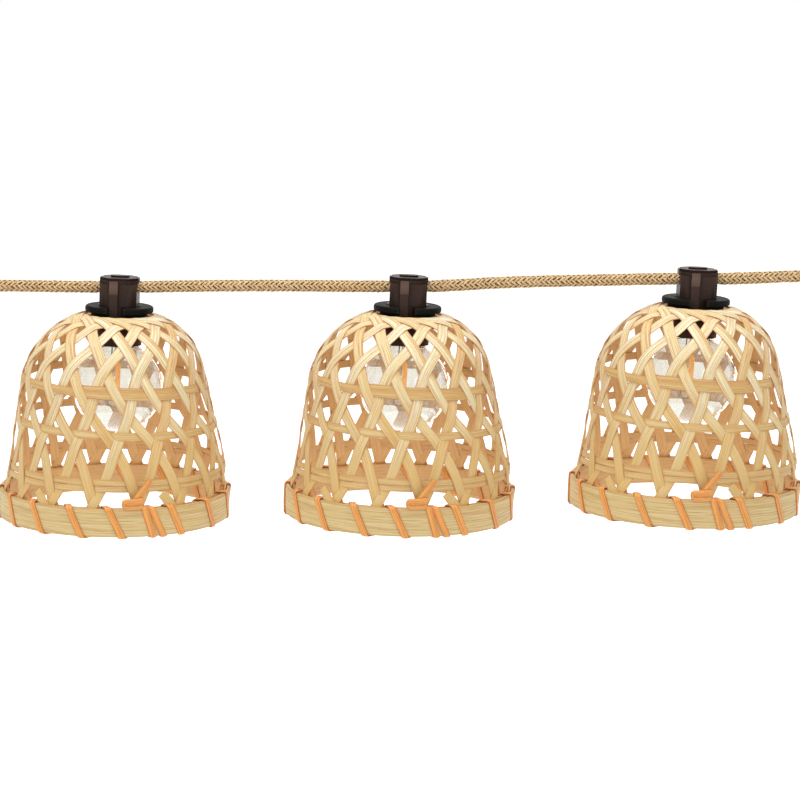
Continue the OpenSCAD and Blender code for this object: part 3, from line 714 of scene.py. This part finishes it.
def rim_band(radii, number, seam):
    """One wide band bent into a ring. Its two ends meet under a wrap."""
    shape = Shape()
    r_in, r_out = radii
    height = RIM_TOP_Z - RIM_BOTTOM_Z
    mean, half = (r_in + r_out) / 2, (r_out - r_in) / 2
    up = (-0.94, -0.8, -0.4, 0, 0.4, 0.8, 0.94)
    outline = ([(1, v) for v in up] + [(0.7, 1), (0, 1), (-0.7, 1)]
               + [(-1, v) for v in up[::-1]] + [(-0.7, -1), (0, -1), (0.7, -1)])
    wander, lift = Wobble(0.10, 150), Wobble(0.14, 160)
    sections, notes = [], []
    steps = 240
    for i in range(steps + 1):
        angle = 360 * i / steps
        along = math.radians(angle) * mean
        ease = min(1, angle / 20, (360 - angle) / 20)
        dr, dz = wander.at(along) * ease, lift.at(along) * ease
        ring, note = [], []
        for side, v in outline:          # a little inside the CAD band's own section
            z = RIM_BOTTOM_Z + height * (v + 1) / 2 * 0.985 + 0.1 + 0.22 * dz
            ring.append(polar(mean + side * half * 0.97 + dr, FRONT + seam + angle, z))
            note.append((along, v, number + (SIDE_SHARE if side > 0 else -SIDE_SHARE)))
        sections.append(ring)
        notes.append(note)
    shape.sweep(sections, notes)
    return shape


# Where each wrap crosses the rim's top, in degrees from the front
WRAP_TOPS = (-65.5, -45.7, -24.3, -4.8, 12.9, 15.8, 26, 49, 71, 91, 114, 134, 158, 181, 203, 224, 248, 271)
WRAP_SLANT = 8.5
STEEP_WRAP, STEEP_SLANT = 4, 6
KNOT_ANGLE = 7.8


def rounded_loop(r_in, r_out, low, high, corner, per_corner=5):
    """A rounded rectangle of (radius, z, out r, out z), from its top's middle, over the outside and round."""
    loop = [((r_in + r_out) / 2, high, 0, 1)]

    def arc(cr, cz, start):
        for i in range(per_corner + 1):
            a = math.radians(start - 90 * i / per_corner)
            loop.append((cr + corner * math.cos(a), cz + corner * math.sin(a), math.cos(a), math.sin(a)))

    def side(a, b, count):
        for i in range(1, count):
            loop.append(tuple(lerp(p, q, i / count) for p, q in zip(a, b)))

    arc(r_out - corner, high - corner, 90)
    side(loop[-1], (r_out, low + corner, 1, 0), 6)
    arc(r_out - corner, low + corner, 0)
    side(loop[-1], (r_in + corner, low, 0, -1), 2)
    arc(r_in + corner, low + corner, -90)
    side(loop[-1], (r_in, high - corner, -1, 0), 6)
    arc(r_in + corner, high - corner, -180)
    return loop


def lashing():
    """One strip wound round both rim bands, 18 times, with a knot and a free tail."""
    shape = Shape()
    gap = WRAP_T / 2 - 0.02
    loop = rounded_loop(INNER_BAND[0] - gap, OUTER_BAND[1] + gap,
                        RIM_BOTTOM_Z - gap - 0.15, RIM_TOP_Z + gap + 0.25, 1.3)
    travelled = [0.0]
    for a, b in zip(loop, loop[1:] + loop[:1]):
        travelled.append(travelled[-1] + math.hypot(b[0] - a[0], b[1] - a[1]))
    outer_end = next(i for i, p in enumerate(loop) if p[3] < -0.9)      # the first place underneath
    spots = []
    for i, top in enumerate(WRAP_TOPS):
        slant = STEEP_SLANT if i == STEEP_WRAP else WRAP_SLANT
        following = WRAP_TOPS[i + 1] if i + 1 < len(WRAP_TOPS) else WRAP_TOPS[0] + 360
        for j, (r, z, out_r, out_z) in enumerate(loop):
            if j <= outer_end:
                share = travelled[j] / travelled[outer_end]
                angle = top + slant * share
            else:
                share = (travelled[j] - travelled[outer_end]) / (travelled[-1] - travelled[outer_end])
                angle = lerp(top + slant, following, share)
            spot = polar(r, FRONT + angle, z)
            spots.append((spot, polar(r + out_r, FRONT + angle, z + out_z) - spot))
    ribbon(shape, spots, WRAP_W, WRAP_T, WRAP_NUMBER, skin=DOMED)
    knot(shape)
    return shape


def knot(shape):
    """A flat loop on the rim's top edge and the free tail that stands up out of it. Corners are given as the
    millimetres to the right, up and out, and the way that the skin faces there."""
    def at(u, v, w):
        r = OUTER_BAND[1] + w
        return polar(r, FRONT + KNOT_ANGLE + math.degrees(u / r), RIM_TOP_Z + 2.6 + v)

    def band(corners, width, radius, number, taper):
        flat = [at(*c[:3]) for c in corners]
        spots = []
        for p in bent(flat, radius, 5):
            near = min(range(len(flat)), key=lambda i: (flat[i] - p).length)
            spots.append((p, at(*corners[near][3]) - at(0, 0, 0)))
        ribbon(shape, spots, width, WRAP_T, number, taper=taper, skin=DOMED)

    band(((4.2, -1.4, -0.1, (0.2, 0, 1)), (1.0, -1.5, 0.7, (0, -0.2, 1)), (-2.6, -1.5, 0.9, (-0.3, -0.2, 1)),
          (-4.3, -0.6, 0.9, (-1, 0, 0.5)), (-3.7, 0.8, 1.4, (-0.6, 0.2, 1)), (0.2, 1.0, 2.1, (0, 0.1, 1)),
          (3.6, 1.4, 1.9, (0.1, 0.1, 1)), (4.4, 1.3, 1.2, (1, 0, 0.1)), (3.4, 0.9, 0.5, (0.3, 0, 1)),
          (-1.0, 0.6, 0.3, (0, 0, 1))), 2.9, 0.55, WRAP_NUMBER + 1, (1, 1))
    band(((-0.8, -0.6, 0.9, (0, 0, 1)), (1.4, 2.4, 1.2, (0, -0.1, 1)), (4.2, 6.6, 1.5, (0, 0, 1)),
          (6.6, 10.2, 1.3, (0, 0.1, 1))), 3.1, 1.0, WRAP_NUMBER + 2, (1, 0.82))


# ---------- Bulb ----------

GLOBE_Z, GLOBE_R, GLASS_T = -45, 20, 0.35
NECK_R, NECK_FILLET = 8.4, 3
LEDGE_Z, COLLAR_GLASS_R, CAP_BOTTOM_Z = -25, 6.2, -23.6
TUBE_R, TUBE_TOP_Z = 4.9, -20
CAP_TOP_Z, CAP_CREST_R, CAP_WAVE, CAP_BORE_R = -11.6, 5.95, 0.45, 5
THREAD_PITCH = 2.54
FILAMENT_TOP_Z, FILAMENT_BOTTOM_Z = -34, -50


def turned(profile, segments=96):
    """A closed lathe skin from an outline of (radius, z)."""
    shape = Shape()
    shape.sweep([[polar(max(r, 1e-4), 360 * i / segments, z) for r, z in profile] for i in range(segments)],
                closed=True, caps=False)
    return shape


def arc_points(cx, cz, r, start, end, count):
    angles = [math.radians(lerp(start, end, i / count)) for i in range(count + 1)]
    return [(cx + r * math.cos(a), cz + r * math.sin(a)) for a in angles]


def glass_outline(wall):
    """The globe and the fillet to its neck, moved in by a wall."""
    r, f, neck = GLOBE_R - wall, NECK_FILLET + wall, NECK_R - wall
    lift = math.sqrt((r + f) ** 2 - (neck + f) ** 2)
    tilt = math.degrees(math.atan2(lift, neck + f))
    return (arc_points(0, GLOBE_Z, r, -90, tilt, 48)
            + arc_points(neck + f, GLOBE_Z + lift, f, 180, 180 + tilt, 10)[::-1])


def globe():
    """The bulb's hollow glass, from the globe's bottom up to the closed tube inside the cap."""
    wall_in = TUBE_R - GLASS_T
    return turned(glass_outline(0) + [
        (NECK_R, LEDGE_Z), (NECK_R - 0.4, LEDGE_Z + 0.02), (COLLAR_GLASS_R, LEDGE_Z + 0.02),
        (COLLAR_GLASS_R, CAP_BOTTOM_Z - 0.1), (TUBE_R, CAP_BOTTOM_Z - 0.1), (TUBE_R, TUBE_TOP_Z),
        (0, TUBE_TOP_Z), (0, TUBE_TOP_Z - GLASS_T), (wall_in, TUBE_TOP_Z - GLASS_T),
        (wall_in, LEDGE_Z - GLASS_T + 0.4), (NECK_R - GLASS_T - 0.6, LEDGE_Z - GLASS_T + 0.1)]
        + glass_outline(GLASS_T)[::-1])


def screw_cap():
    """The bulb's shell with a rolled right-hand thread."""
    shape = Shape()
    segments, rows = 64, 72
    top, bottom = CAP_TOP_Z, CAP_BOTTOM_Z
    sections = []
    for i in range(segments):
        angle = 360 * i / segments
        ring = []
        for j in range(rows + 1):
            z = lerp(bottom, top - 0.5, j / rows)
            fade = smooth((z - bottom - 0.6) / 0.8) * smooth((top - 0.9 - z) / 0.8)
            wave = math.cos(TAU * (z / THREAD_PITCH - angle / 360))
            ring.append((CAP_CREST_R - CAP_WAVE * 0.5 * (1 - wave * fade) - 0.02, z))
        ring += [(CAP_CREST_R - 0.9, top - 0.15), (4.9, top), (3.2, top), (3.2, top - 0.4),
                 (CAP_BORE_R, top - 0.8), (CAP_BORE_R, bottom)]
        sections.append([polar(r, angle, z) for r, z in ring])
    shape.sweep(sections, closed=True, caps=False)
    return shape


def cap_insulator():
    return turned([(r, CAP_TOP_Z + up) for r, up in
                   ((0, 0.02), (4.7, 0.02), (4.75, 0.25), (4.2, 0.7), (2.5, 1.47), (0, 1.49))], 48)


def cap_tip():
    base = CAP_TOP_Z + 1.5
    quarter = [math.radians(9 * i) for i in range(11)]
    return turned([(0, base)] + [(1.9 * math.cos(a), base + 0.86 * math.sin(a)) for a in quarter], 40)


def tube(shape, points, radius, sides=8, number=0):
    """A round wire or fibre along points."""
    side = Vector((0, 1, 0))
    sections, notes = [], []
    for i, p in enumerate(points):
        ahead = ahead_at(points, i)
        if abs(ahead.dot(side)) > 0.95:
            side = Vector((1, 0, 0))
        up = ahead.cross(side).normalized()
        across = up.cross(ahead).normalized()
        r = radius(i / (len(points) - 1)) if callable(radius) else radius
        sections.append([p + r * (math.cos(TAU * j / sides) * across + math.sin(TAU * j / sides) * up)
                         for j in range(sides)])
        notes.append([(i, j / sides, number) for j in range(sides)])
    shape.sweep(sections, notes)


def bent(points, radius, steps=6):
    """A path through corner points with each corner rounded."""
    path = [points[0]]
    for a, b, c in zip(points, points[1:], points[2:]):
        into, away = (b - a).normalized(), (c - b).normalized()
        start, end = b - into * radius, b + away * radius
        path += [start.lerp(b, t / steps).lerp(b.lerp(end, t / steps), t / steps) for t in range(steps + 1)]
    return path + [points[-1]]


def stem():
    """The glass rod that carries the lead wires, with a pinched foot."""
    top = TUBE_TOP_Z - GLASS_T - 0.05
    return turned([(0, top), (3.2, top), (3.1, top - 1.0), (2.4, top - 2.6), (1.9, top - 4.5), (1.7, -27.5),
                   (2.1, -28.9), (1.9, -29.8), (0.9, -30.2), (0, -30.25)], 48)


def lead_wires():
    """A short wire to the filament's top and a long one round the side to its foot."""
    shape = Shape()
    low = FILAMENT_BOTTOM_Z - 3.8
    for points, corner, radius in (
            (((0.15, 0, -29.5), (0.2, 0, -31.5), (0, 0, FILAMENT_TOP_Z + 0.1)), 0.8, 0.24),
            (((-1.5, 0.2, -23.8), (-2.8, 0.3, -26.2), (-3.0, 0.3, -31.5), (-3.8, 0.1, -35.5), (-3.9, 0, -46),
              (-4.3, 0, low), (0, 0, low), (0, 0, FILAMENT_BOTTOM_Z - 0.1)), 0.9, 0.3)):
        tube(shape, bent([Vector(p) for p in points], corner), radius)
    return shape


def filament():
    """A slim coated bar with rounded edges, drawn in at both ends."""
    shape = Shape()
    half_w, half_t, roundness = 1.15, 0.62, 0.6
    outline = [(math.copysign(abs(math.cos(a)) ** roundness, math.cos(a)) * half_w,
                math.copysign(abs(math.sin(a)) ** roundness, math.sin(a)) * half_t)
               for a in [TAU * i / 20 for i in range(20)]]
    sections = []
    for i in range(25):
        t = i / 24
        swell = (1 - abs(2 * t - 1) ** 14) * 0.55 + 0.45
        z = lerp(FILAMENT_BOTTOM_Z, FILAMENT_TOP_Z, t)
        sections.append([Vector((x * swell, y * swell, z)) for x, y in outline])
    shape.sweep(sections)
    return shape


# ---------- Cord ----------

YARNS = 8                 # in each direction
BRAID_R = 2.14
BRAID_LAY = math.radians(37)          # from the cord's axis
YARN_W, YARN_H = 1.06, 0.72
BRAID_RISE = 0.32
PINCH = 0.16              # how far the sockets press the yarns in
FUZZ_R = 2.5              # where loose fibres stand on the cord
CLEAR_OF_SOCKET = 9.6     # loose fibres keep this far from a socket's middle


def cord_height(x):
    """Height of the cord's centre line, in metres, at a place along it."""
    for a, b in zip(ROUTE, ROUTE[1:]):
        if x <= b.x:
            t = (x - a.x) / (b.x - a.x)
            return lerp(a.z, b.z, smooth(t) * 0.5 + t * 0.5)
    return ROUTE[-1].z


def on_cord(x, degrees, r):
    """A point round the cord, in millimetres."""
    a = math.radians(degrees)
    return Vector((x, r * math.cos(a), cord_height(x * MM) / MM + r * math.sin(a)))


def pinch(x):
    """How much the sockets squeeze the cord, from 0 at 11 mm from the nearest one's middle to 1 at 9 mm."""
    return smooth((11 - min(abs(x - s) for s in SOCKETS)) / 2)


def braid():
    """A jute sleeve of 16 yarns, each over two and under two, round a dark sleeve of painted shade."""
    shape = Shape()
    turn_per_mm = 360 * math.tan(BRAID_LAY) / (TAU * BRAID_R)
    crossing_per_mm = 2 * turn_per_mm * YARNS / 360
    step, sides = 0.46, 8
    count = round((LAST_X - FIRST_X) / step)
    for hand in (1, -1):
        for yarn in range(YARNS):
            sway, thick = Wobble(5.0, 30), Wobble(0.12, 15)
            centres, beyond, tops = [], [], []
            for i in range(count + 1):
                x = lerp(FIRST_X, LAST_X, i / count)
                crossed = 2 * yarn + hand * crossing_per_mm * (x - FIRST_X)
                up = hand * math.cos(TAU * (crossed - 0.5) / 4)
                lift = BRAID_RISE * up - PINCH * pinch(x)
                # How far the yarn lies on top; the jute material paints shade where it dives under.
                tops.append(TOP_SHARE / 2 * (1 + up))
                angle = 360 * yarn / YARNS + hand * turn_per_mm * (x - FIRST_X) + sway.at(x)
                centres.append(on_cord(x, angle, BRAID_R + lift))
                beyond.append(on_cord(x, angle, BRAID_R + lift + 1))
            sections, notes, along = [], [], 0.0
            for i, centre in enumerate(centres):
                out = (beyond[i] - centre).normalized()
                across = ahead_at(centres, i).cross(out).normalized()
                along += step / math.cos(BRAID_LAY)
                size = 1 + thick.at(along)
                sections.append([centre + across * math.cos(TAU * j / sides) * YARN_W / 2 * size
                                 + out * math.sin(TAU * j / sides) * YARN_H / 2 * size for j in range(sides)])
                number = yarn + 40 * (hand > 0) + tops[i]
                notes.append([(along, j / sides, number) for j in range(sides)])
            shape.sweep(sections, notes)
    return shape


def cord_gap_shade():
    """A dark sleeve inside the braid: painted shade that shows between the yarns."""
    shape = Shape()
    count, sides, radius = 130, 24, 1.5
    shape.sweep([[on_cord(lerp(FIRST_X, LAST_X, i / count), 360 * j / sides, radius) for j in range(sides)]
                 for i in range(count + 1)])
    return shape


def fuzz():
    """Loose jute fibres that stand off the cord."""
    shape = Shape()
    fibres, first, last = 900, 21.5, 380.5
    for number in range(fibres):
        x = random.uniform(first, last)
        angle = random.uniform(0, 360)
        length = random.choice((1.2, 1.8, 2.4, 3.2, 4.5)) * random.uniform(0.7, 1.2)
        height = random.uniform(0.15, 0.75) * (1.7 if number % 17 == 0 else 1)
        drift, spin = random.uniform(-1, 1) * length, random.uniform(-50, 50) * length / 3
        if min(abs(end - s) for s in SOCKETS for end in (x, x + drift)) < CLEAR_OF_SOCKET:
            continue
        points = []
        for i in range(6):
            t = i / 5
            rise = math.sin(math.pi * t * random.uniform(0.55, 0.62)) * height
            points.append(on_cord(min(last, max(first, x + drift * t)), angle + spin * t, FUZZ_R + rise))
        tube(shape, points, lambda t: 0.055 * (1 - 0.6 * t), 3, number % 30 + TOP_SHARE)
    return shape


def stray_fibres():
    """A few long fibres by the sockets, each from a place on the cord and an angle round it."""
    shape = Shape()
    for x, angle, reach, rise in ((190.5, 250, 3.2, -3.2), (186, 95, 4.0, 1.6), (222, 80, -3.0, 1.3),
                                  (62, 100, 3.4, 1.4), (94, 265, 2.6, -2.2), (318, 255, -3.0, -2.6),
                                  (352, 95, -3.2, 1.5)):
        base = on_cord(x, angle, 2.4)
        points = [base + Vector((reach * t, -0.6 * t, rise * t ** 1.6)) for t in [i / 7 for i in range(8)]]
        tube(shape, points, lambda t: 0.075 * (1 - 0.6 * t), 4, 3 + TOP_SHARE)
    return shape


# ---------- Pieces ----------

jute, painted_gap_shade, loose, strays = [
    place(build().mesh(name), name, look, "cord", Matrix.Scale(MM, 4), nodes)
    for name, build, look, nodes in (
        ("jute_braid", braid, jute_look, ("rope_cover",)), ("cord_gap_shade", cord_gap_shade, gap_shade_look, ()),
        ("jute_fuzz", fuzz, jute_look, ()), ("jute_strays", stray_fibres, jute_look, ()))]

# The shade's pieces and the bulb's: name, shape, look, slot and the CAD nodes that each replaces
SHADE_PIECES = [(name, hand_made(build()).mesh(name), *rest) for name, build, *rest in (
    ("woven_strips", long_strips, strip_look, "bamboo_strip", ("strips_left", "strips_right")),
    ("woven_hoops", woven_hoops, hoop_look, "bamboo_hoop", ("hoops",)),
    ("outer_band", lambda: rim_band(OUTER_BAND, OUTER_NUMBER, 181), rim_look, "bamboo_rim", ("rim_outer",)),
    ("inner_band", lambda: rim_band(INNER_BAND, INNER_NUMBER, 91), rim_look, "bamboo_rim", ("rim_inner",)),
    ("lashing", lashing, lash_look, "rattan_lashing", ("rim_lashing",)))]
BULB_PIECES = [(name, build().mesh(name), *rest, (node,)) for name, build, *rest, node in (
    ("globe", globe, glass_look, "clear_glass", "bulb_glass"),
    ("cap_shell", screw_cap, cap_look, "cap_metal", "bulb_cap"),
    ("cap_insulator", cap_insulator, seal_look, "seal_rubber", "bulb_cap"),
    ("cap_tip", cap_tip, cap_look, "cap_metal", "bulb_cap"),
    ("glass_stem", stem, stem_look, "stem_glass", "bulb_stem"),
    ("lead_wires", lead_wires, wire_look, "brass_sheet", "bulb_stem"),
    ("filament", filament, filament_look, "filament_coating", "led_filament"))]

for n in LANTERNS:
    for pieces, body, matrix in ((SHADE_PIECES, "lantern", lantern_matrix(n, SHADE_TURN[n])),
                                 (BULB_PIECES, "bulb", lantern_matrix(n))):
        for name, data, look, slot, nodes in pieces:
            place(data, f"{name}_{n}", look, f"{body}_{n}", matrix, [f"{node}_{n}" for node in nodes])


def dress(node, material, bevel=0.0):
    """Gives a CAD node its material and softens its edges by a bevel in millimetres."""
    piece = frame["nodes"][node]
    piece.data.materials.clear()
    piece.data.materials.append(material)
    if bevel:
        soft = piece.modifiers.new("soft_edges", "BEVEL")
        soft.width = bevel * MM
        soft.segments = 2
        soft.limit_method = "ANGLE"
        soft.angle_limit = math.radians(35)


for n in LANTERNS:
    for node, look, bevel in (("socket_cap", socket_looks[n], 0.25), ("socket_body", socket_looks[n], 0.2),
                              ("screw_shell", brass_look, 0), ("centre_contact", brass_look, 0),
                              ("shade_collar", collar_look, 0.15), ("shade_nut", collar_look, 0.2),
                              ("bulb_seal", seal_look, 0.2)):
        dress(f"{node}_{n}", look, bevel)
for node, look, bevel in (("twin_lead", lead_look, 0), ("feed_body", fitting_look, 0.2),
                          ("feed_pins", brass_look, 0), ("feed_nut", nut_look, 0.2),
                          ("outlet_body", fitting_look, 0.2), ("outlet_contacts", brass_look, 0),
                          ("outlet_cap", nut_look, 0.2)):
    dress(node, look, bevel)


# ---------- Stage and light ----------

def flat_white(name, level):
    """A white sheet that glows a little, so that it stays white towards the horizon."""
    n = Nodes(name)
    cloud = n.noise(n.where(), 3, 2)
    seen = n.math("SUBTRACT", 1.0, n.new("LightPath").outputs["Is Diffuse Ray"])
    return n.surface(Base_Color=n.mix(cloud, (level,) * 3, (level * 0.99,) * 3), Roughness=0.9,
                     Emission_Color=(1, 1, 1, 1), Emission_Strength=n.math("MULTIPLY", seen, 0.7))


def white_floor(size, location):
    data = bpy.data.meshes.new("floor")
    s = size / 2
    data.from_pydata([(-s, -s, 0), (s, -s, 0), (s, s, 0), (-s, s, 0)], [], [(0, 1, 2, 3)])
    data.materials.append(flat_white("floor", 0.93))
    plane = bpy.data.objects.new("floor", data)
    bpy.context.collection.objects.link(plane)
    plane.location = location


middle = (cad_low + cad_high) / 2
white_floor(14, (middle.x, middle.y, cad_low.z - 0.22))


def area_light(name, offset, size, power):
    """A soft lamp at an offset from the object's middle, turned towards it."""
    data = bpy.data.lights.new(name, "AREA")
    data.shape = "RECTANGLE"
    data.size, data.size_y = size
    data.energy = power
    lamp = bpy.data.objects.new(name, data)
    bpy.context.collection.objects.link(lamp)
    lamp.location = middle + Vector(offset)
    lamp.rotation_euler = (-Vector(offset)).to_track_quat("-Z", "Y").to_euler()


area_light("key", (-0.8, -1.2, 0.9), (0.9, 0.7), 6.5)
area_light("fill", (1.1, -1.2, 0.4), (0.8, 1.0), 2.5)
area_light("top", (0, -0.1, 1.3), (1.6, 0.9), 15)
area_light("back", (0.2, 1.6, 0.7), (1.6, 1.0), 2)

world = bpy.data.worlds.new("studio")
world.use_nodes = True
background = world.node_tree.nodes["Background"]
background.inputs["Color"].default_value = (1, 1, 1, 1)
# Matt surfaces are lit less than the white that is seen straight, mirrored or through glass
FULL_WHITE, MATT_LESS = 1.0, 0.53
rays = world.node_tree.nodes.new("ShaderNodeLightPath")
dim = world.node_tree.nodes.new("ShaderNodeMath")
dim.operation = "MULTIPLY_ADD"
dim.inputs[1].default_value = -MATT_LESS
dim.inputs[2].default_value = FULL_WHITE
world.node_tree.links.new(rays.outputs["Is Diffuse Ray"], dim.inputs[0])
world.node_tree.links.new(dim.outputs[0], background.inputs["Strength"])
scene = bpy.context.scene
scene.world = world
scene.view_settings.view_transform = "Standard"
scene.view_settings.look = "None"
scene.view_settings.exposure = 0
scene.view_settings.gamma = 1
